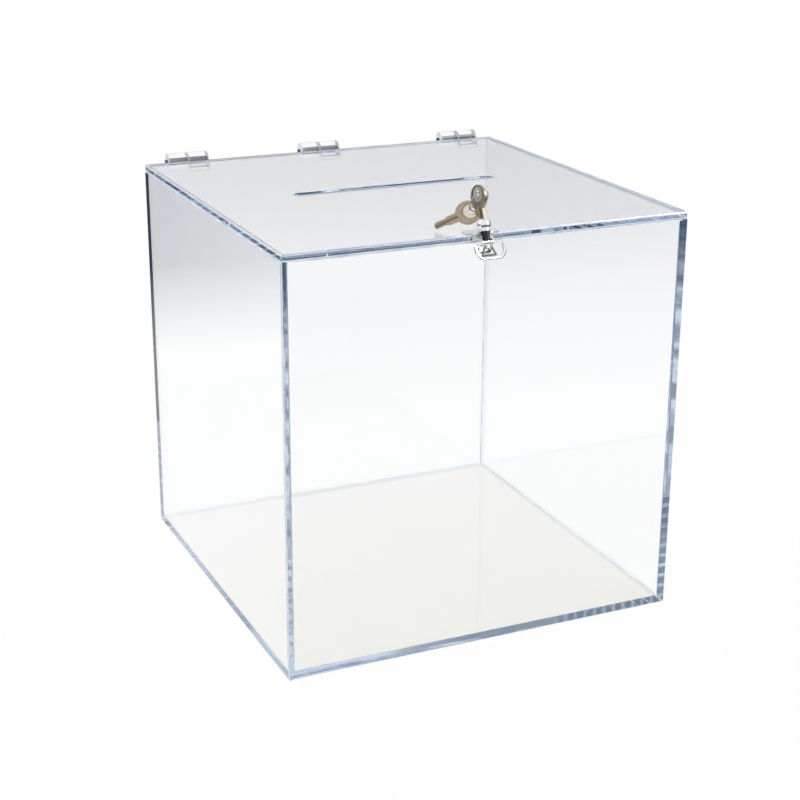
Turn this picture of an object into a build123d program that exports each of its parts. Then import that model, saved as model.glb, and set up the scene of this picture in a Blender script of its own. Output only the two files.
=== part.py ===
"""Clear ballot box with a slotted lid, three barrel hinges and a key lock at the lid's front.

Millimetres. The origin is the centre of the box's underside, +X runs right along
the front, +Y to the back and +Z up. The lid is closed and the lock is open.
"""
import os
from math import atan2, cos, radians, sin, sqrt

from build123d import *

os.makedirs("parts", exist_ok=True)

# The box: clear sheet, cemented along its edges
box_width = 304.8
box_depth = 304.8
wall_height = 298.0
sheet = 4.76

# The lid lies on the walls with a small gap
lid_gap = 0.3
lid_corner_radius = 2.5
lid_edge_break = 0.35
slot_length = 163.0
slot_width = 9.5
slot_back_of_middle = 8.6

# Three two-knuckle hinges behind the lid's back edge, not quite evenly spaced
hinge_names = ["left", "middle", "right"]
hinge_from_left = 36.8
hinge_from_middle = -2.8
hinge_from_right = 28.8
hinge_length = 32.4
barrel_radius = 6.35
knuckle_gap = 0.3
barrel_clearance = 0.3
axis_below_lid_top = 0.7
pin_radius = 1.6
pin_clearance = 0.05
pin_overhang = 1.6
leaf_thickness = 2.6
leaf_length = 7.0
leaf_gap = 0.25
gusset_drop = 4.5
leaf_corner_radius = 1.5

# The lock hangs on a bracket at the lid's front edge and leans back at the top
lock_x = -9.5
lean = 26.0
pivot_reach = 6.4
pivot_below_lid_top = 4.6

# Bracket: a plate on the lid with two ears over its front edge and two cheeks
bracket_half_width = 12.2
bracket_depth = 9.4
bracket_thickness = 1.0
bracket_corner_radius = 2.6
bracket_bend_radius = 0.7
ear_inner = 3.3
ear_outer = 7.6
ear_length = 4.2
notch_depth = 0.8
cheek_thickness = 0.8
cheek_radius = 2.3
screw_spacing = 15.0
screw_from_front = 7.0
screw_radius = 1.0
screw_clearance = 0.1
screw_head_radius = 1.9
screw_head_height = 1.4

# Bent wires are many-sided, which keeps their facets few
wire_sides = 10

# Latch arm: a hub between the cheeks and a neck above it
hub_radius = 2.2
hub_clearance = 0.3
neck_radius = 2.65
neck_length = 5.4

# Wire pull: its ends are the latch's axle, through the cheeks and into the hub
pull_wire_radius = 1.2
pull_clearance = 0.05
pull_end = 1.75
pull_half_width = 10.5
pull_right_of_lock = 1.4
pull_bottom = 10.8
pull_corner_radius = 5.6
pull_shoulder_radius = 2.2

# Barrel: a housing that swells into a ball with a flat top face
housing_radius = 3.3
housing_rim = 0.3
ball_radius = 4.9
ball_height = 12.1
ball_bands = 5
face_height = 15.7
barrel_floor = 0.45

# Plug with its keyway, and the spindle that carries the cam
plug_radius = 2.75
plug_clearance = 0.05
plug_seat_gap = 0.1
spindle_radius = 1.2
spindle_clearance = 0.05
keyway_width = 4.6
keyway_height = 2.1
keyway_floor = 0.5

# Cam: a flat tapering loop forked round a sleeve on the spindle, below the hub
sleeve_gap = 0.3
sleeve_radius = 1.8
sleeve_length = 1.3
cam_drop = 0.1
cam_thickness = 1.3
cam_top_half_width = 2.9
cam_half_width = 5.8
cam_bottom = 9.25
cam_leg = 0.8
cam_bar = 1.5
cam_corner_radius = 0.8
cam_window_drop = 0.2

# Keeper slot in the front wall, which the turned cam's end enters
keeper_slot_height = 5.2
keeper_slot_length = 9.6
keeper_slot_below_pivot = 6.5
keeper_slot_right_of_lock = 2.2

# Keys, both alike, and the wire ring that joins them
bow_radius = 8.4
key_thickness = 1.9
bow_panel_radius = 5.5
bow_panel_offset = 2.2
bow_panel_depth = 0.25
bow_hole_radius = 2.1
bow_hole_offset = 3.1
neck_width = 5.8
neck_root_width = 6.6
key_neck_length = 6.4
blade_width = 4.4
blade_length = 9.2
blade_groove_width = 1.1
blade_groove_depth = 0.45
blade_point = 1.3
bit_depth = 0.8
bit_half_width = 0.8
bit_count = 3
key_seat_gap = 0.2
key_turn = -82.0
spare_right = -4.182
spare_back = 20.973
spare_above_lid = 11.5
spare_towards_bow = Vector(0.898, -0.24, 0.369)
spare_face = Vector(-0.43, -0.658, 0.619)
ring_radius = 8.0
ring_wire_radius = 0.55
ring_side = Vector(0.947, 0.32, 0.023)
ring_sweep = 357.0

# Overrun for every through cut
overrun = 1.0

# Places that follow from the sizes
inner_width = box_width - 2 * sheet
inner_depth = box_depth - 2 * sheet
front_face = -box_depth / 2
back_face = box_depth / 2
lid_bottom = wall_height + lid_gap
lid_top = lid_bottom + sheet
hinge_axis_y = back_face + barrel_clearance + barrel_radius
hinge_axis_z = lid_top - axis_below_lid_top
knuckle_length = (hinge_length - knuckle_gap) / 2
hinge_centres = [
    hinge_from_left - box_width / 2,
    hinge_from_middle,
    box_width / 2 - hinge_from_right,
]

pivot_y = front_face - pivot_reach
pivot_z = lid_top - pivot_below_lid_top
lock_pivot = Vector(lock_x, pivot_y, pivot_z)
lock_up = Vector(0, sin(radians(lean)), cos(radians(lean)))
lock_forward = Vector(0, -cos(radians(lean)), sin(radians(lean)))
lock_axis = Axis(lock_pivot, lock_up)
# Seen from the front along the lean: local Y runs up the lock's axis
lock_face = Plane(origin=lock_pivot, x_dir=(1, 0, 0), z_dir=lock_forward)
# Square to the lock's axis: local Z runs up it
lock_plan = Plane(origin=lock_pivot, x_dir=(1, 0, 0), z_dir=lock_up)


def wall(width, depth, height, centre):
    """A flat sheet piece standing on or in the box."""
    with BuildPart() as piece:
        with Locations(centre):
            Box(width, depth, height, align=(Align.CENTER, Align.CENTER, Align.MIN))
    return piece.part


def finish(part, name):
    """Names a piece and writes its file."""
    part.label = name
    export_step(part, f"parts/{name}.step")


# Walls and base
with BuildPart() as front_panel:
    with BuildSketch(Plane.XZ.offset(-front_face)):
        with Locations((0, wall_height / 2)):
            Rectangle(inner_width, wall_height)
        with Locations((lock_x + keeper_slot_right_of_lock, pivot_z - keeper_slot_below_pivot)):
            SlotOverall(keeper_slot_length, keeper_slot_height, mode=Mode.SUBTRACT)
    extrude(amount=-sheet)
finish(front_panel.part, "front_panel")

side_offset = (box_width - sheet) / 2
finish(wall(inner_width, sheet, wall_height, (0, back_face - sheet / 2, 0)), "back_panel")
finish(wall(sheet, box_depth, wall_height, (-side_offset, 0, 0)), "left_panel")
finish(wall(sheet, box_depth, wall_height, (side_offset, 0, 0)), "right_panel")
finish(wall(inner_width, inner_depth, sheet, (0, 0, 0)), "base_panel")

# Lid with the ballot slot and the bracket's screw holes
screw_places = [
    (lock_x - screw_spacing / 2, front_face + screw_from_front),
    (lock_x + screw_spacing / 2, front_face + screw_from_front),
]
with BuildPart() as lid:
    with BuildSketch(Plane.XY.offset(lid_bottom)):
        RectangleRounded(box_width, box_depth, lid_corner_radius)
    extrude(amount=sheet)
    chamfer(lid.faces().filter_by(Axis.Z).edges(), lid_edge_break)
    with BuildSketch(Plane.XY.offset(lid_bottom - overrun)):
        with Locations((0, slot_back_of_middle)):
            SlotOverall(slot_length, slot_width)
        with Locations(*screw_places):
            Circle(screw_radius + screw_clearance)
    extrude(amount=sheet + 2 * overrun, mode=Mode.SUBTRACT)
finish(lid.part, "lid")


# Hinges
def lid_knuckle(left_end):
    """The knuckle on the lid: a barrel on a foot as thick as the lid."""
    with BuildPart() as knuckle:
        with BuildSketch(Plane.YZ.offset(left_end)):
            with Locations((hinge_axis_y, hinge_axis_z)):
                Circle(barrel_radius)
            with Locations(((back_face + hinge_axis_y) / 2, (lid_bottom + lid_top) / 2)):
                Rectangle(hinge_axis_y - back_face, sheet)
            with Locations((hinge_axis_y, hinge_axis_z)):
                Circle(pin_radius + pin_clearance, mode=Mode.SUBTRACT)
        extrude(amount=knuckle_length)
    return knuckle.part


def box_knuckle(left_end):
    """The knuckle on the box: a barrel on a leaf that runs down the back wall."""
    leaf_top = lid_bottom - leaf_gap
    leaf_back = back_face + leaf_thickness
    with BuildPart() as knuckle:
        with BuildSketch(Plane.YZ.offset(left_end)):
            with Locations((hinge_axis_y, hinge_axis_z)):
                Circle(barrel_radius)
            with BuildLine():
                Polyline(
                    (back_face, leaf_top),
                    (back_face, leaf_top - leaf_length),
                    (leaf_back, leaf_top - leaf_length),
                    (leaf_back, leaf_top - gusset_drop),
                    (hinge_axis_y, hinge_axis_z - barrel_radius),
                    (hinge_axis_y, leaf_top),
                    close=True,
                )
            make_face()
            with Locations((hinge_axis_y, hinge_axis_z)):
                Circle(pin_radius + pin_clearance, mode=Mode.SUBTRACT)
        extrude(amount=knuckle_length)
        fillet(knuckle.edges().filter_by(Axis.Y).group_by(Axis.Z)[0], leaf_corner_radius)
    return knuckle.part


def hinge_pin(centre):
    """The pin through both knuckles, a little longer than the barrel."""
    half = hinge_length / 2 + pin_overhang
    with BuildPart() as pin:
        with BuildSketch(Plane.YZ.offset(centre - half)):
            with Locations((hinge_axis_y, hinge_axis_z)):
                Circle(pin_radius)
        extrude(amount=2 * half)
    return pin.part


for hinge_name, centre_x in zip(hinge_names, hinge_centres):
    left = centre_x - hinge_length / 2
    finish(lid_knuckle(left), f"lid_knuckle_{hinge_name}")
    finish(box_knuckle(left + knuckle_length + knuckle_gap), f"box_knuckle_{hinge_name}")
    finish(hinge_pin(centre_x), f"hinge_pin_{hinge_name}")

# Bracket on the lid
plate_back = front_face + bracket_depth
ear_front = front_face - bracket_thickness
ear_bottom = lid_top - ear_length
with BuildPart() as hasp_bracket:
    with BuildSketch(Plane.XY.offset(lid_top)):
        with Locations((lock_x, (ear_front + plate_back) / 2)):
            Rectangle(2 * bracket_half_width, plate_back - ear_front)
    extrude(amount=bracket_thickness)
    back_corners = hasp_bracket.edges().filter_by(Axis.Z).group_by(Axis.Y)[-1]
    fillet(back_corners, bracket_corner_radius)
    # The front is cut back to the two ears and the notch between them
    wing = bracket_half_width - ear_outer
    with BuildSketch(Plane.XY.offset(lid_top)):
        for side in (-1, 1):
            with Locations((lock_x + side * (ear_outer + wing / 2), ear_front)):
                Rectangle(wing, 2 * bracket_thickness)
        with Locations((lock_x, front_face)):
            Rectangle(2 * ear_inner, 2 * bracket_thickness + 2 * notch_depth)
    extrude(amount=bracket_thickness, mode=Mode.SUBTRACT)
    with BuildSketch(Plane.XZ.offset(-front_face)):
        for side in (-1, 1):
            with Locations((lock_x + side * (ear_inner + ear_outer) / 2, lid_top)):
                Rectangle(ear_outer - ear_inner, ear_length, align=(Align.CENTER, Align.MAX))
    extrude(amount=bracket_thickness)
    bends = hasp_bracket.edges().filter_by(Axis.X).group_by(Axis.Z)[-1].group_by(Axis.Y)[0]
    fillet(bends, bracket_bend_radius)
    # Cheeks stand forward from the ears and carry the wire pull's ends
    for cheek_start in (lock_x - ear_inner - cheek_thickness, lock_x + ear_inner):
        with BuildSketch(Plane.YZ.offset(cheek_start)):
            with Locations((pivot_y, pivot_z)):
                Circle(cheek_radius)
            with Locations(((pivot_y + ear_front) / 2, pivot_z)):
                Rectangle(ear_front - pivot_y, 2 * cheek_radius)
            with Locations((pivot_y, pivot_z)):
                Circle(pull_wire_radius + pull_clearance, mode=Mode.SUBTRACT)
        extrude(amount=cheek_thickness)
    with BuildSketch(Plane.XY.offset(lid_top)):
        with Locations(*screw_places):
            Circle(screw_radius)
    extrude(amount=bracket_thickness, mode=Mode.SUBTRACT)
finish(hasp_bracket.part, "hasp_bracket")

# Screws up through the lid into the bracket's plate, heads under the lid
with BuildPart() as bracket_screws:
    with BuildSketch(Plane.XY.offset(lid_bottom)):
        with Locations(*screw_places):
            Circle(screw_radius)
    extrude(amount=sheet + bracket_thickness)
    with BuildSketch(Plane.XY.offset(lid_bottom)):
        with Locations(*screw_places):
            Circle(screw_head_radius)
    extrude(amount=-screw_head_height)
finish(bracket_screws.part, "bracket_screws")

# Latch arm
hub_half_width = ear_inner - hub_clearance
with BuildPart() as latch_arm:
    with BuildSketch(Plane.YZ.offset(lock_x - hub_half_width)):
        with Locations((pivot_y, pivot_z)):
            Circle(hub_radius)
    extrude(amount=2 * hub_half_width)
    with BuildSketch(lock_plan):
        Circle(neck_radius)
    extrude(amount=neck_length)
    with BuildSketch(lock_plan.offset(-hub_radius - overrun)):
        Circle(spindle_radius + spindle_clearance)
    extrude(amount=hub_radius + neck_length + 2 * overrun, mode=Mode.SUBTRACT)
    for end_start in (lock_x - hub_half_width, lock_x + pull_end):
        with BuildSketch(Plane.YZ.offset(end_start)):
            with Locations((pivot_y, pivot_z)):
                Circle(pull_wire_radius)
        extrude(amount=hub_half_width - pull_end, mode=Mode.SUBTRACT)
finish(latch_arm.part, "latch_arm")

# Wire pull, bent in one plane with the lock's axis
pull_left = pull_right_of_lock - pull_half_width
pull_right = pull_right_of_lock + pull_half_width
with BuildPart() as wire_pull:
    with BuildLine(lock_face) as pull_path:
        FilletPolyline(
            (pull_end, 0),
            (pull_right, 0),
            (pull_right, -pull_bottom),
            (pull_left, -pull_bottom),
            (pull_left, 0),
            (-pull_end, 0),
            radius=[pull_shoulder_radius, pull_corner_radius, pull_corner_radius, pull_shoulder_radius],
        )
    with BuildSketch(Plane(origin=pull_path.line @ 0, z_dir=pull_path.line % 0)):
        RegularPolygon(pull_wire_radius, wire_sides)
    sweep(path=pull_path.line)
finish(wire_pull.part, "wire_pull")

# Barrel, turned: housing, ball and flat face
ball_foot = ball_height - sqrt(ball_radius**2 - housing_radius**2)
face_radius = sqrt(ball_radius**2 - (face_height - ball_height) ** 2)
foot_angle = atan2(ball_foot - ball_height, housing_radius)
face_angle = atan2(face_height - ball_height, face_radius)
ball_outline = []
for step in range(ball_bands + 1):
    angle = foot_angle + (face_angle - foot_angle) * step / ball_bands
    ball_outline.append((ball_radius * cos(angle), ball_height + ball_radius * sin(angle)))
with BuildPart() as lock_barrel:
    with BuildSketch(lock_face):
        with BuildLine():
            Polyline(
                (0, neck_length),
                (housing_radius - housing_rim, neck_length),
                (housing_radius, neck_length + housing_rim),
                (housing_radius, ball_foot),
            )
            Polyline(*ball_outline)
            Polyline((face_radius, face_height), (0, face_height), (0, neck_length))
        make_face()
    revolve(axis=lock_axis)
    with BuildSketch(lock_plan.offset(neck_length + barrel_floor)):
        Circle(plug_radius + plug_clearance)
    extrude(amount=face_height, mode=Mode.SUBTRACT)
    with BuildSketch(lock_plan.offset(neck_length - overrun)):
        Circle(spindle_radius + spindle_clearance)
    extrude(amount=barrel_floor + 2 * overrun, mode=Mode.SUBTRACT)
finish(lock_barrel.part, "lock_barrel")

# Plug and spindle, with the keyway cut to suit the blade
plug_bottom = neck_length + barrel_floor + plug_seat_gap
sleeve_top = -hub_radius - sleeve_gap
sleeve_bottom = sleeve_top - sleeve_length
keyway_bottom = plug_bottom + keyway_floor
key_plan = Plane(lock_pivot, x_dir=Vector(1, 0, 0).rotate(lock_axis, key_turn), z_dir=lock_up)
with BuildPart() as lock_plug:
    with BuildSketch(lock_plan.offset(plug_bottom)):
        Circle(plug_radius)
    extrude(amount=face_height - plug_bottom)
    with BuildSketch(lock_plan.offset(sleeve_bottom)):
        Circle(spindle_radius)
    extrude(amount=plug_bottom - sleeve_bottom)
    with BuildSketch(key_plan.offset(keyway_bottom)):
        Rectangle(keyway_width, keyway_height)
    extrude(amount=face_height, mode=Mode.SUBTRACT)
finish(lock_plug.part, "lock_plug")

# Sleeve on the spindle's end
with BuildPart() as cam_sleeve:
    with BuildSketch(lock_plan.offset(sleeve_bottom)):
        Circle(sleeve_radius)
        Circle(spindle_radius, mode=Mode.SUBTRACT)
    extrude(amount=sleeve_length)
finish(cam_sleeve.part, "cam_sleeve")

# Cam, forked round the sleeve
cam_top = sleeve_top - cam_drop
cam_slope = (cam_half_width - cam_top_half_width) / (cam_bottom + cam_top)
window_top = sleeve_bottom - cam_window_drop
window_bottom = cam_bar - cam_bottom
window_top_half = cam_top_half_width + cam_slope * (cam_top - window_top) - cam_leg
window_bottom_half = cam_top_half_width + cam_slope * (cam_top - window_bottom) - cam_leg
with BuildPart() as lock_cam:
    with BuildSketch(lock_face):
        with BuildLine():
            Polyline(
                (-cam_top_half_width, cam_top),
                (-cam_half_width, -cam_bottom),
                (cam_half_width, -cam_bottom),
                (cam_top_half_width, cam_top),
                close=True,
            )
        make_face()
        with BuildLine():
            Polyline(
                (-window_top_half, window_top),
                (-window_bottom_half, window_bottom),
                (window_bottom_half, window_bottom),
                (window_top_half, window_top),
                close=True,
            )
        make_face(mode=Mode.SUBTRACT)
    extrude(amount=cam_thickness / 2, both=True)
    foot_corners = lock_cam.edges().filter_by(Axis(lock_pivot, lock_forward)).group_by(lock_axis)[0]
    fillet(foot_corners, cam_corner_radius)
    with BuildSketch(lock_plan.offset(sleeve_bottom)):
        Circle(sleeve_radius)
    extrude(amount=sleeve_length, mode=Mode.SUBTRACT)
finish(lock_cam.part, "lock_cam")


# Keys
def key(flat):
    """A key on a plane: origin at the bow's centre, local Y from the tip to the bow."""
    shoulder = -bow_radius - key_neck_length
    tip = shoulder - blade_length
    blade_half = blade_width / 2
    neck_start = -bow_radius / 2
    with BuildPart() as body:
        with BuildSketch(flat.offset(-key_thickness / 2)):
            Circle(bow_radius)
            with BuildLine():
                Polyline(
                    (-neck_root_width / 2, neck_start),
                    (-neck_width / 2, shoulder),
                    (-blade_half, shoulder),
                    (-blade_half, tip + blade_point),
                    (-blade_half / 3, tip),
                    (blade_half / 3, tip),
                    (blade_half, tip + blade_point),
                    (blade_half, shoulder),
                    (neck_width / 2, shoulder),
                    (neck_root_width / 2, neck_start),
                    close=True,
                )
            make_face()
            bit_pitch = (blade_length - blade_point) / (bit_count + 1)
            for notch in range(bit_count):
                notch_y = tip + blade_point + (notch + 0.5) * bit_pitch + bit_half_width
                with BuildLine():
                    Polyline(
                        (blade_half + bit_depth, notch_y + 2 * bit_half_width),
                        (blade_half - bit_depth, notch_y),
                        (blade_half + bit_depth, notch_y - 2 * bit_half_width),
                        close=True,
                    )
                make_face(mode=Mode.SUBTRACT)
            with Locations((0, bow_hole_offset)):
                Circle(bow_hole_radius, mode=Mode.SUBTRACT)
        extrude(amount=key_thickness)
        # The sunk round panel and the groove are alike on both faces
        for face_side in (-1, 1):
            outer = flat.offset(face_side * key_thickness / 2)
            with BuildSketch(outer):
                with Locations((0, bow_panel_offset)):
                    Circle(bow_panel_radius)
            extrude(amount=-face_side * bow_panel_depth, mode=Mode.SUBTRACT)
            with BuildSketch(outer):
                with Locations((0, (tip - bow_radius) / 2)):
                    Rectangle(blade_groove_width, -bow_radius - tip)
            extrude(amount=-face_side * blade_groove_depth, mode=Mode.SUBTRACT)
    return body.part


key_seat = face_height + key_seat_gap
key_centre = lock_pivot + lock_up * (key_seat + key_neck_length + bow_radius)
key_flat = Plane(key_centre, x_dir=key_plan.x_dir, z_dir=key_plan.x_dir.cross(lock_up))
finish(key(key_flat), "key_in_lock")

spare_centre = Vector(lock_x + spare_right, pivot_y + spare_back, lid_top + spare_above_lid)
spare_flat = Plane(spare_centre, x_dir=spare_towards_bow.cross(spare_face), z_dir=spare_face)
finish(key(spare_flat), "spare_key")

# Ring through both bows: its wire's middle line passes through both holes' centres
upper_hole = key_flat.from_local_coords(Vector(0, bow_hole_offset, 0))
lower_hole = spare_flat.from_local_coords(Vector(0, bow_hole_offset, 0))
hole_span = upper_hole - lower_hole
ring_side_length = sqrt(ring_radius**2 - (hole_span.length / 2) ** 2)
ring_normal = hole_span.cross(ring_side).normalized()
ring_across = ring_normal.cross(hole_span).normalized()
ring_centre = (upper_hole + lower_hole) / 2 + ring_across * ring_side_length
ring_start = Plane(ring_centre + ring_across * ring_radius, z_dir=hole_span)
with BuildPart() as key_ring:
    with BuildSketch(ring_start):
        RegularPolygon(ring_wire_radius, wire_sides)
    revolve(axis=Axis(ring_centre, ring_normal), revolution_arc=ring_sweep)
finish(key_ring.part, "key_ring")
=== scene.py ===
"""Clear ballot box with a slotted lid, barrel hinges and an open key lock, in metres.

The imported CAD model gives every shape. This script joins the cemented clear sheets, eases
their edges, and adds the materials, the stage and the camera.
"""
from math import cos, radians, sin

import bmesh
import bpy
from mathutils import Matrix, Vector


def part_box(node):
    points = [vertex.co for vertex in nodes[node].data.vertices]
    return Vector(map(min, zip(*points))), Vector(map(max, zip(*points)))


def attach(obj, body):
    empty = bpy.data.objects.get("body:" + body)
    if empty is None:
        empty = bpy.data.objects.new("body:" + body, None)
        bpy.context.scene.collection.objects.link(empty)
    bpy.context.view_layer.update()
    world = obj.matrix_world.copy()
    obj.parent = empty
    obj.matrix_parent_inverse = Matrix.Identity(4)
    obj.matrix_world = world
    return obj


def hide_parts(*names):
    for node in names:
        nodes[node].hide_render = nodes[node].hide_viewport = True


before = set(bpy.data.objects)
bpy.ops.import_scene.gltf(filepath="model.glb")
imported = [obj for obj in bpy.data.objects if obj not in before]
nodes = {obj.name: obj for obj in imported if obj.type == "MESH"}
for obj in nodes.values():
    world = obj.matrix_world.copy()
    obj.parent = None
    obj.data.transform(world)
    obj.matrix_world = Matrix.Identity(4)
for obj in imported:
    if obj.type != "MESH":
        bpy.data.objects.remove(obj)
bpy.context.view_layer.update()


# Camera: fitted to the photograph's eight box corners
CAMERA_PLACE = (-0.507467, -1.115313, 0.572311)
CAMERA_AZIMUTH = radians(-24.468)
CAMERA_ELEVATION = radians(19.655)
CAMERA_ROLL = radians(0.317)
CAMERA_LENS = 75.29
SENSOR_WIDTH = 36.0
CAMERA_REACH = 50


def add_camera():
    az, el, roll = CAMERA_AZIMUTH, CAMERA_ELEVATION, CAMERA_ROLL
    back = Vector((sin(az) * cos(el), -cos(az) * cos(el), sin(el)))
    level_right = Vector((0, 0, 1)).cross(back).normalized()
    level_up = back.cross(level_right)
    right = level_right * cos(roll) + level_up * sin(roll)
    up = level_up * cos(roll) - level_right * sin(roll)
    data = bpy.data.cameras.new("camera")
    data.sensor_width = SENSOR_WIDTH
    data.lens = CAMERA_LENS
    data.clip_end = CAMERA_REACH
    camera = bpy.data.objects.new("camera", data)
    turn = Matrix((right, up, back)).transposed().to_4x4()
    camera.matrix_world = Matrix.Translation(CAMERA_PLACE) @ turn
    bpy.context.collection.objects.link(camera)
    bpy.context.scene.camera = camera


# Node helpers
def new_material(name):
    """An empty node material and its tree."""
    material = bpy.data.materials.new(name)
    material.use_nodes = True
    material.node_tree.nodes.clear()
    return material, material.node_tree


def add_node(tree, kind, inputs=None, **settings):
    """A node with its settings, and with its inputs set to values or linked to sockets."""
    node = tree.nodes.new(kind)
    for key, value in settings.items():
        setattr(node, key, value)
    for key, value in (inputs or {}).items():
        socket = node.inputs[key]
        if isinstance(value, bpy.types.NodeSocket):
            tree.links.new(value, socket)
        else:
            socket.default_value = value
    return node


def calc(tree, operation, *values):
    """The result of a sum on one or two values."""
    return add_node(tree, "ShaderNodeMath", dict(enumerate(values)), operation=operation).outputs[0]


def vector_calc(tree, operation, result, *values):
    """The named result of a sum on one or two vectors."""
    node = add_node(tree, "ShaderNodeVectorMath", dict(enumerate(values)), operation=operation)
    return node.outputs[result]


def mix(tree, share, start, end, data_type="FLOAT"):
    """The way from start to end by the share."""
    inputs = {"Factor": share, "A": start, "B": end}
    return add_node(tree, "ShaderNodeMix", inputs, data_type=data_type).outputs["Result"]


def mix_colour(tree, share, start, end):
    return mix(tree, share, start, end, data_type="RGBA")


def mix_shader(tree, share, first, second):
    return add_node(tree, "ShaderNodeMixShader", {0: share, 1: first, 2: second}).outputs["Shader"]


def remap(tree, value, low, high, to_low, to_high):
    """The value taken from one range to another and held inside it."""
    return add_node(
        tree, "ShaderNodeMapRange",
        {"Value": value, "From Min": low, "From Max": high, "To Min": to_low, "To Max": to_high},
    ).outputs["Result"]


def object_place(tree):
    """The place of a point in object space."""
    return add_node(tree, "ShaderNodeTexCoord").outputs["Object"]


def noise(tree, scale, detail=3.0):
    """A noise value in object space."""
    inputs = {"Vector": object_place(tree), "Scale": scale, "Detail": detail}
    return add_node(tree, "ShaderNodeTexNoise", inputs).outputs["Fac"]


def bump(tree, height, strength, distance):
    inputs = {"Strength": strength, "Distance": distance, "Height": height}
    return add_node(tree, "ShaderNodeBump", inputs).outputs["Normal"]


# Materials. Each range is the part of the noise that is used.
WHITE = (1, 1, 1, 1)
ACRYLIC_INDEX = 1.49

SMEAR_SCALE = 9.0
SMEAR_DETAIL = 4.0
SMEAR_RANGE = (0.35, 0.75)
SHEET_ROUGHNESS = 0.012
RIPPLE_SCALE = 14.0
RIPPLE_DETAIL = 1.0
RIPPLE_BUMP = (0.02, 0.0005)
SHEET_SHADOW = (0.94, 0.95, 0.955, 1)
SHEET_TINT = (0.6, 0.73, 0.86, 1)
SHEET_DENSITY = 4.0

SCRAPE_SCALE = 60.0
SCRAPE_TINT_RANGE = (0.35, 0.65)
SCRAPE_RANGE = (0.3, 0.7)
SCRAPE_ROUGHNESS = (0.35, 0.6)
SCRAPE_BUMP = (0.15, 0.0002)
EASED_COLOURS = ((0.62, 0.72, 0.86, 1), (0.93, 0.96, 1.0, 1))
# The drilled bore is frosted, and its dark grey is painted shade: the dark bands seen through the barrel
BORE_SHADE_COLOURS = ((0.13, 0.135, 0.14, 1), (0.3, 0.31, 0.32, 1))

PATCH_SCALE = 420.0
PATCH_RANGE = (0.3, 0.7)
GRAIN_SCALE = 2520.0
GRAIN_DETAIL = 2.0
GRAIN_BUMP = (0.05, 0.0001)
PATCH_DARK = 0.75

# Each metal's colour, its roughness where it is smooth and where it is dull, the brightness of
# its dull patches, and its share of metal
METALS = {
    "pin_steel": ((0.2, 0.2, 0.205), 0.12, 0.25, PATCH_DARK, 1.0),
    "chrome": ((0.92, 0.92, 0.92), 0.05, 0.14, 0.9, 1.0),
    "satin_chrome": ((0.95, 0.95, 0.95), 0.16, 0.26, 0.92, 0.55),
    "lock_chrome": ((0.88, 0.87, 0.86), 0.05, 0.14, 0.9, 1.0),
    "cam_steel": ((0.2, 0.19, 0.18), 0.1, 0.2, PATCH_DARK, 1.0),
    "nickel": ((0.43, 0.36, 0.27), 0.25, 0.4, PATCH_DARK, 1.0),
    "ring_wire": ((0.55, 0.54, 0.53), 0.15, 0.25, PATCH_DARK, 1.0),
}


def acrylic(name):
    """Clear cast sheet: it bends light, and a long way through it turns blue-grey."""
    material, tree = new_material(name)
    smears = noise(tree, SMEAR_SCALE, SMEAR_DETAIL)
    ripple = noise(tree, RIPPLE_SCALE, RIPPLE_DETAIL)
    clear = add_node(
        tree, "ShaderNodeBsdfPrincipled",
        {
            "Base Color": WHITE, "IOR": ACRYLIC_INDEX, "Transmission Weight": 1.0,
            "Roughness": remap(tree, smears, *SMEAR_RANGE, 0.0, SHEET_ROUGHNESS),
            "Normal": bump(tree, ripple, *RIPPLE_BUMP),
        },
    )
    lamp_light = add_node(tree, "ShaderNodeBsdfTransparent", {"Color": SHEET_SHADOW})
    shadow_ray = add_node(tree, "ShaderNodeLightPath").outputs["Is Shadow Ray"]
    surface = mix_shader(tree, shadow_ray, clear.outputs["BSDF"], lamp_light.outputs["BSDF"])
    absorb = add_node(
        tree, "ShaderNodeVolumeAbsorption", {"Color": SHEET_TINT, "Density": SHEET_DENSITY}
    )
    add_node(
        tree, "ShaderNodeOutputMaterial", {"Surface": surface, "Volume": absorb.outputs["Volume"]}
    )
    return material


def frosted(name, low_colour, high_colour):
    """Cut acrylic that isn't polished: the scraped arris of the sheet, or a drilled bore. The bore's dark
    grey colours are painted shade.
    """
    material, tree = new_material(name)
    scrapes = noise(tree, SCRAPE_SCALE)
    share = remap(tree, scrapes, *SCRAPE_TINT_RANGE, 0.0, 1.0)
    surface = add_node(
        tree, "ShaderNodeBsdfPrincipled",
        {
            "Base Color": mix_colour(tree, share, low_colour, high_colour), "IOR": ACRYLIC_INDEX,
            "Roughness": remap(tree, scrapes, *SCRAPE_RANGE, *SCRAPE_ROUGHNESS),
            "Normal": bump(tree, scrapes, *SCRAPE_BUMP),
        },
    )
    add_node(tree, "ShaderNodeOutputMaterial", {"Surface": surface.outputs["BSDF"]})
    return material


def metal(kind, name=None):
    """Plated metal with faint unevenness and slightly duller patches."""
    colour, smooth, dull, dark, metallic = METALS[kind]
    material, tree = new_material(name or kind)
    patches = noise(tree, PATCH_SCALE)
    grain = noise(tree, GRAIN_SCALE, GRAIN_DETAIL)
    share = remap(tree, patches, *PATCH_RANGE, 0.0, 1.0)
    surface = add_node(
        tree, "ShaderNodeBsdfPrincipled",
        {
            "Base Color": mix_colour(tree, share, (*[c * dark for c in colour], 1), (*colour, 1)),
            "Metallic": metallic, "Roughness": remap(tree, patches, *PATCH_RANGE, dull, smooth),
            "Normal": bump(tree, grain, *GRAIN_BUMP),
        },
    )
    add_node(tree, "ShaderNodeOutputMaterial", {"Surface": surface.outputs["BSDF"]})
    return material


def base_colour(tree):
    """The socket of a material's base colour, and the colour that is linked to it."""
    socket = tree.nodes["Principled BSDF"].inputs["Base Color"]
    return socket, socket.links[0].from_socket


# Merging distance of points, and the angles that count as flat and as an edge
WELD = 0.000002
FLAT_ANGLE = radians(0.6)
SHARP_ANGLE = radians(30)
SQUARE_ON = 0.99995
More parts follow.
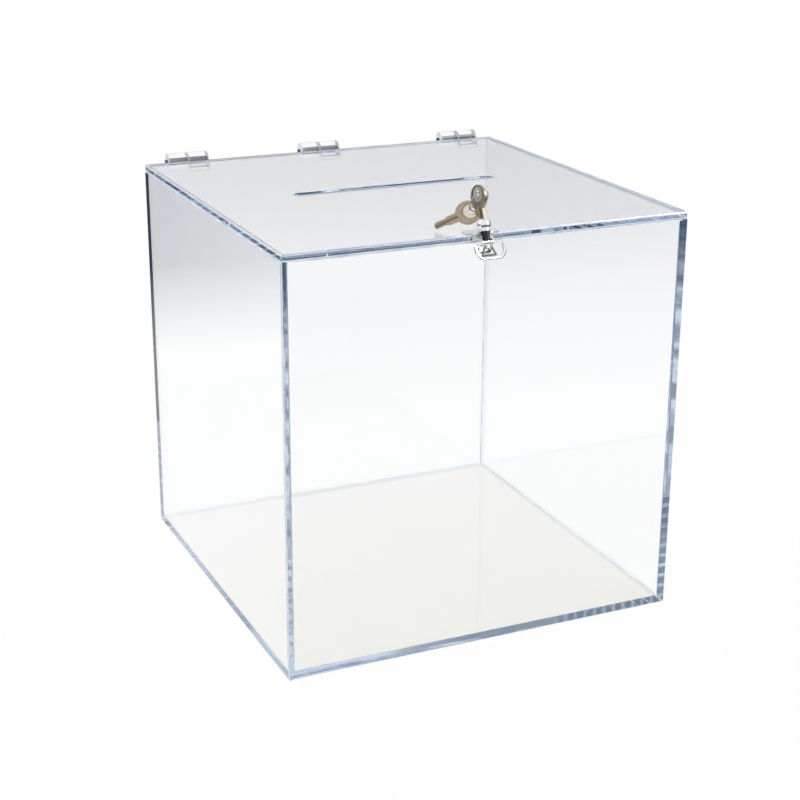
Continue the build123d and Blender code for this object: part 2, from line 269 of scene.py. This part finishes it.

# The latch arm's pivot, the lean of the lock, and the stretch along it painted near-black as shade
PIVOT = Vector((-0.0095, -0.1588, 0.29846))
LOCK_LEAN = radians(26)
NECK_START = 0.0009
NECK_END = 0.0076
NECK_SHADE = (0.04, 0.038, 0.037, 1)


def with_neck_shade(material):
    """The metal with painted shade on the lock's neck, measured up along the lock from its pivot."""
    tree = material.node_tree
    up = Vector((0, sin(LOCK_LEAN), cos(LOCK_LEAN)))
    along = vector_calc(tree, "DOT_PRODUCT", "Value", object_place(tree), up)
    start, end = [PIVOT.dot(up) + at for at in (NECK_START, NECK_END)]
    past_start = remap(tree, along, start - WELD, start + WELD, 0.0, 1.0)
    before_end = remap(tree, along, end - WELD, end + WELD, 1.0, 0.0)
    socket, bright = base_colour(tree)
    share = calc(tree, "MULTIPLY", past_start, before_end)
    tree.links.new(mix_colour(tree, share, bright, NECK_SHADE), socket)
    return material


# The middle of each key's sunk panel, the panel, and the groove along the blade
KEY_PANELS = {
    "key_in_lock": (-0.0095, -0.14438, 0.32803),
    "spare_key": (-0.01171, -0.13835, 0.31537),
}
PANEL_RADIUS = 0.0055
PANEL_RIM = 0.0004
# Painted highlight on the sunk panel, and painted shade along its rim and in the blade's groove
PANEL_HIGHLIGHT = (0.72, 0.65, 0.54, 1)
BLADE_START = 0.009
BLADE_TIP = 0.02
GROOVE = 0.0003
RECESS_SHADE = (0.1, 0.08, 0.06, 1)


def with_panel_light_and_shade(material, key, centre):
    """The nickel with a painted highlight on the bow's sunk panel, and painted shade along its rim and in
    the blade's groove.
    """
    tree = material.node_tree
    place = object_place(tree)
    radius = vector_calc(tree, "DISTANCE", "Value", place, centre)
    socket, plain = base_colour(tree)
    inside = remap(tree, radius, PANEL_RADIUS - PANEL_RIM, PANEL_RADIUS, 1.0, 0.0)
    panel = mix_colour(tree, inside, plain, PANEL_HIGHLIGHT)
    rises = remap(tree, radius, PANEL_RADIUS - PANEL_RIM, PANEL_RADIUS, 0.0, 1.0)
    falls = remap(tree, radius, PANEL_RADIUS, PANEL_RADIUS + PANEL_RIM, 1.0, 0.0)
    rim_shaded = mix_colour(tree, calc(tree, "MULTIPLY", rises, falls), panel, RECESS_SHADE)
    middle = Vector(centre)
    tip = [v.co for v in key.data.vertices if (v.co - middle).length > BLADE_TIP]
    blade = (sum(tip, Vector()) / len(tip) - middle).normalized()
    flat = max(key.data.polygons, key=lambda face: face.area).normal
    side = blade.cross(flat).normalized()
    arm = vector_calc(tree, "SUBTRACT", "Vector", place, centre)
    along = vector_calc(tree, "DOT_PRODUCT", "Value", arm, blade)
    beside = vector_calc(tree, "DOT_PRODUCT", "Value", arm, side)
    on_blade = remap(tree, along, BLADE_START, BLADE_START + PANEL_RIM, 0.0, 1.0)
    off_line = calc(tree, "ABSOLUTE", beside)
    in_groove = remap(tree, off_line, GROOVE, GROOVE + PANEL_RIM, 1.0, 0.0)
    groove = calc(tree, "MULTIPLY", on_blade, in_groove)
    tree.links.new(mix_colour(tree, groove, rim_shaded, RECESS_SHADE), socket)
    return material


def dress(material, *names):
    """Gives CAD nodes their material."""
    for name in names:
        materials = nodes[name].data.materials
        materials.clear()
        materials.append(material)


# Eased edges of the sheet, the shortest edge that is eased, and the reach of a knuckle's bore
EASED_EDGE = 0.0007
LONG_EDGE = 0.1
BACK_FACE = 0.1524
BORE_REACH = 0.0025
EASED_SLOT = 1
BORE_SLOT = 2


def welded_mesh(mesh):
    """A closed copy of a node's mesh, with the points at its edges merged."""
    copy = mesh.copy()
    work = bmesh.new()
    work.from_mesh(copy)
    bmesh.ops.remove_doubles(work, verts=work.verts, dist=WELD)
    work.to_mesh(copy)
    work.free()
    copy.materials.clear()
    return copy


def is_level(edge):
    """True for an edge that runs level, in front of the hinges."""
    start, end = [vert.co for vert in edge.verts]
    return abs(start.z - end.z) < WELD and max(start.y, end.y) < BACK_FACE - EASED_EDGE


def joined_mesh(name, names):
    """One mesh of the named nodes, without the faces where they meet."""
    piece = bpy.data.objects.new(name, welded_mesh(nodes[names[0]].data))
    bpy.context.collection.objects.link(piece)
    helpers = []
    for other in names[1:]:
        helper = bpy.data.objects.new(f"{name}_{other}", welded_mesh(nodes[other].data))
        bpy.context.collection.objects.link(helper)
        helpers.append(helper)
        union = piece.modifiers.new(other, "BOOLEAN")
        union.operation = "UNION"
        union.solver = "EXACT"
        union.object = helper
    bpy.context.view_layer.update()
    graph = bpy.context.evaluated_depsgraph_get()
    mesh = bpy.data.meshes.new_from_object(piece.evaluated_get(graph))
    piece.modifiers.clear()
    piece.data = mesh
    for helper in helpers:
        bpy.data.objects.remove(helper)
    return piece, mesh


def ease_edges(mesh, all_round):
    """Eases the long edges, and the level ones too if all_round, inside the mesh's own box."""
    work = bmesh.new()
    work.from_mesh(mesh)
    bmesh.ops.remove_doubles(work, verts=work.verts, dist=WELD)
    bmesh.ops.dissolve_limit(work, angle_limit=FLAT_ANGLE, verts=work.verts, edges=work.edges)
    long_edges = [
        edge for edge in work.edges
        if edge.calc_face_angle(0) > SHARP_ANGLE
        and (edge.calc_length() > LONG_EDGE or all_round and is_level(edge))
    ]
    sides = [
        [limit(vert.co[axis] for vert in work.verts) for limit in (min, max)] for axis in range(3)
    ]
    bmesh.ops.bevel(
        work, geom=long_edges, offset=EASED_EDGE, segments=1, profile=0.5, affect="EDGES",
        clamp_overlap=False, material=EASED_SLOT,
    )
    for vert in work.verts:
        vert.co = [min(max(value, low), high) for value, (low, high) in zip(vert.co, sides)]
    work.to_mesh(mesh)
    work.free()


def cemented(name, body, materials, names, all_round=False):
    """Cemented clear nodes as one piece, because light meets no face inside a good cement joint."""
    low, high = [Vector(corner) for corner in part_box("hinge_pin_left")]
    hinge_axis = (low + high) / 2
    piece, mesh = joined_mesh(name, names)
    ease_edges(mesh, all_round)
    mesh.shade_smooth()
    mesh.set_sharp_from_angle(angle=SHARP_ANGLE)
    for face in mesh.polygons:
        if max(abs(v) for v in face.normal) > SQUARE_ON:
            face.use_smooth = False
        if abs(face.normal.x) > SQUARE_ON and face.center.y > BACK_FACE + EASED_EDGE:
            face.material_index = EASED_SLOT
        from_axis = Vector((0, face.center.y - hinge_axis.y, face.center.z - hinge_axis.z)).length
        if from_axis < BORE_REACH and abs(face.normal.x) < 1 - SQUARE_ON:
            face.material_index = BORE_SLOT
    for material in materials:
        mesh.materials.append(material)
    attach(piece, body)
    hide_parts(*names)


def dress_all():
    hinges = ["left", "middle", "right"]
    finishes = [
        acrylic("clear_sheet"), frosted("eased_edge", *EASED_COLOURS),
        # The bore's dark grey is painted shade
        frosted("shaded_drilled_bore", *BORE_SHADE_COLOURS),
    ]
    walls = ["front_panel", "left_panel", "right_panel", "back_panel", "base_panel"]
    cemented("box_clear", "box", finishes, walls + [f"box_knuckle_{h}" for h in hinges])
    cemented(
        "lid_clear", "lid", finishes, ["lid"] + [f"lid_knuckle_{h}" for h in hinges], all_round=True
    )
    dress(metal("pin_steel"), *[f"hinge_pin_{h}" for h in hinges])
    dress(metal("chrome"), "wire_pull", "lock_plug", "cam_sleeve")
    dress(metal("satin_chrome"), "hasp_bracket", "bracket_screws")
    # Painted shade: the neck of the latch arm and lock barrel is painted near-black
    dress(with_neck_shade(metal("lock_chrome")), "latch_arm", "lock_barrel")
    dress(metal("cam_steel"), "lock_cam")
    # Painted highlight on each key's sunk panel, painted shade on its rim and groove
    for name, centre in KEY_PANELS.items():
        dress(with_panel_light_and_shade(metal("nickel", f"{name}_nickel"), nodes[name], centre), name)
    dress(metal("ring_wire"), "key_ring")


# Stage: the floor and its shadow, and the dusky room that mirrored light meets
FLOOR_HALF = 30.0
FLOOR_COLOUR = (0.97, 0.97, 0.97, 1)
FLOOR_SHADOW = 0.1
STAGE_GAP = 0.0003
NEAR_SHADOW = 0.4
FAR_SHADOW = 0.9
NEAR_FLOOR = 0.62
FAR_FLOOR = 0.98
FAR_SHADE = 0.12
FLOOR_NARROWING = (0.65, 1, 1)
FOOT_EDGE = 0.151
# Painted shadow on the box's footprint: its lit shares at the front and back, and its warm grey
FRONT_SHADOW = 0.75
BACK_SHADOW = 0.3
FOOT_SHADOW_TINT = (0.87, 0.85, 0.75, 1)
DUSK = (0.05, 0.085, 0.15, 1)
SKY_LIGHT = (0.7, 0.7, 0.7, 1)
MIRRORED_BOUNCES = 0.5
TRAPPED_BOUNCES = 3.5
STREAK_RANGE = (0.4, 0.62)
FLOOR_STREAK_SCALE = 22.0
FLOOR_STREAK_LOW = 0.3
SKY_STREAK_SCALE = 9.0
SKY_STREAK_LOW = 0.2

# The sky's brightness in mirrored light, and its share through clear pieces: from and to the
# height of the way that the light goes, and the value at each
LOW_SKY = (0.02, 0.14, 0.08, 0.5)
HIGH_SKY = (0.1, 0.5, 0.0, 0.5)
BENT_LOW = (0.06, 0.12, 0.75, 0.0)
BENT_HIGH = (0.4, 0.6, 0.0, 0.75)
BENT_LEAST = 0.25


def seen_share(tree, rays):
    """1 for what the eye, mirrors and clear pieces see, and 0 for light that falls on the object."""
    seen = calc(tree, "MAXIMUM", rays.outputs["Is Camera Ray"], rays.outputs["Is Glossy Ray"])
    return calc(tree, "MAXIMUM", seen, rays.outputs["Is Transmission Ray"])


def studio_light(tree, rays, shade, streaks, streak_low, through=1.0):
    """White to the eye; the dusky room beyond the table in mirrored light and strongly bent light.

    Light trapped in a sheet has been mirrored many times and comes out at its edges, dimmer.
    """
    mirrored, trapped = [
        calc(tree, "GREATER_THAN", rays.outputs["Glossy Depth"], bounces)
        for bounces in (MIRRORED_BOUNCES, TRAPPED_BOUNCES)
    ]
    streak = remap(tree, streaks, *STREAK_RANGE, streak_low, 1.0)
    held = mix(tree, trapped, 1.0, streak)
    dimmed = calc(tree, "MULTIPLY", shade, held)
    clear = mix(tree, rays.outputs["Is Camera Ray"], through, 1.0)
    return mix_colour(tree, mix(tree, mirrored, clear, dimmed), DUSK, WHITE)


def floor_white():
    """White to the eye and through clear pieces, with the object's shadow kept, and a painted shadow,
    darker and warm, on the box's footprint.
    """
    material, tree = new_material("floor_white")
    rays = add_node(tree, "ShaderNodeLightPath")
    place = object_place(tree)
    distance = vector_calc(tree, "LENGTH", "Value", place)
    narrowed = add_node(tree, "ShaderNodeMapping", {"Vector": place, "Scale": FLOOR_NARROWING})
    reach = vector_calc(tree, "LENGTH", "Value", narrowed.outputs["Vector"])
    shade = remap(tree, reach, NEAR_FLOOR, FAR_FLOOR, 1.0, FAR_SHADE)
    streaks = noise(tree, FLOOR_STREAK_SCALE)
    light = studio_light(tree, rays, shade, streaks, FLOOR_STREAK_LOW)
    white = add_node(tree, "ShaderNodeEmission", {"Color": light, "Strength": 1.0})
    kept_white = remap(tree, distance, NEAR_SHADOW, FAR_SHADOW, 1 - FLOOR_SHADOW, 1.0)
    axes = add_node(tree, "ShaderNodeSeparateXYZ", {"Vector": place}).outputs
    sides = [calc(tree, "ABSOLUTE", axes[axis]) for axis in ("X", "Y")]
    off_centre = calc(tree, "MAXIMUM", *sides)
    outside = remap(tree, off_centre, FOOT_EDGE - STAGE_GAP, FOOT_EDGE, 0.0, 1.0)
    # Painted shadow: the footprint under the box is darker and warm, most at the front
    foot_white = remap(tree, axes["Y"], -FOOT_EDGE, FOOT_EDGE, 1 - FRONT_SHADOW, 1 - BACK_SHADOW)
    kept = mix(tree, outside, foot_white, kept_white)
    shadow_tint = mix_colour(tree, outside, FOOT_SHADOW_TINT, FLOOR_COLOUR)
    lit = add_node(tree, "ShaderNodeBsdfDiffuse", {"Color": shadow_tint})
    share = calc(tree, "MULTIPLY", seen_share(tree, rays), kept)
    surface = mix_shader(tree, share, lit.outputs["BSDF"], white.outputs["Emission"])
    add_node(tree, "ShaderNodeOutputMaterial", {"Surface": surface})
    return material


def add_floor():
    mesh = bpy.data.meshes.new("floor")
    corners = [(x * FLOOR_HALF, y * FLOOR_HALF, 0) for x, y in ((-1, -1), (1, -1), (1, 1), (-1, 1))]
    mesh.from_pydata(corners, [], [(0, 1, 2, 3)])
    floor = bpy.data.objects.new("floor", mesh)
    floor.location.z = -STAGE_GAP
    mesh.materials.append(floor_white())
    bpy.context.collection.objects.link(floor)


def add_world():
    """White to the eye and through clear pieces; a soft sky, dimmer at the horizon, in mirrored light."""
    world = bpy.data.worlds.new("studio")
    bpy.context.scene.world = world
    world.use_nodes = True
    tree = world.node_tree
    tree.nodes.clear()
    rays = add_node(tree, "ShaderNodeLightPath")
    way = add_node(tree, "ShaderNodeTexCoord").outputs["Generated"]
    height = add_node(tree, "ShaderNodeSeparateXYZ", {"Vector": way}).outputs["Z"]
    sky = calc(tree, "ADD", remap(tree, height, *LOW_SKY), remap(tree, height, *HIGH_SKY))
    bent = calc(tree, "ADD", remap(tree, height, *BENT_LOW), remap(tree, height, *BENT_HIGH))
    through = calc(tree, "ADD", bent, BENT_LEAST)
    streaks = noise(tree, SKY_STREAK_SCALE)
    light = studio_light(tree, rays, sky, streaks, SKY_STREAK_LOW, through)
    colour = mix_colour(tree, seen_share(tree, rays), SKY_LIGHT, light)
    background = add_node(tree, "ShaderNodeBackground", {"Color": colour, "Strength": 1.0})
    add_node(tree, "ShaderNodeOutputWorld", {"Surface": background.outputs["Background"]})


# Lamps: place and power
LAMPS = {
    "key_light": ((1.5, -1.3, 1.8), 20),
    "fill_light": ((-1.6, 0.6, 1.1), 8),
}
LAMP_TARGET = Vector((0, 0, 0.2))
LAMP_SIDE = 1.2


def add_lamp(name, place, power):
    data = bpy.data.lights.new(name, "AREA")
    data.shape = "RECTANGLE"
    data.size = data.size_y = LAMP_SIDE
    data.energy = power
    lamp = bpy.data.objects.new(name, data)
    way = Vector(place) - LAMP_TARGET
    lamp.matrix_world = Matrix.Translation(place) @ way.to_track_quat("Z", "Y").to_matrix().to_4x4()
    bpy.context.collection.objects.link(lamp)


# Clear sheets behind each other, and light trapped in them, need many bounces
BOUNCES = 48

add_camera()
add_world()
add_floor()
for lamp_name, (lamp_place, lamp_power) in LAMPS.items():
    add_lamp(lamp_name, lamp_place, lamp_power)
dress_all()

scene = bpy.context.scene
scene.view_settings.view_transform = "Standard"
scene.cycles.max_bounces = BOUNCES
scene.cycles.glossy_bounces = BOUNCES
scene.cycles.transmission_bounces = BOUNCES
scene.cycles.transparent_max_bounces = BOUNCES
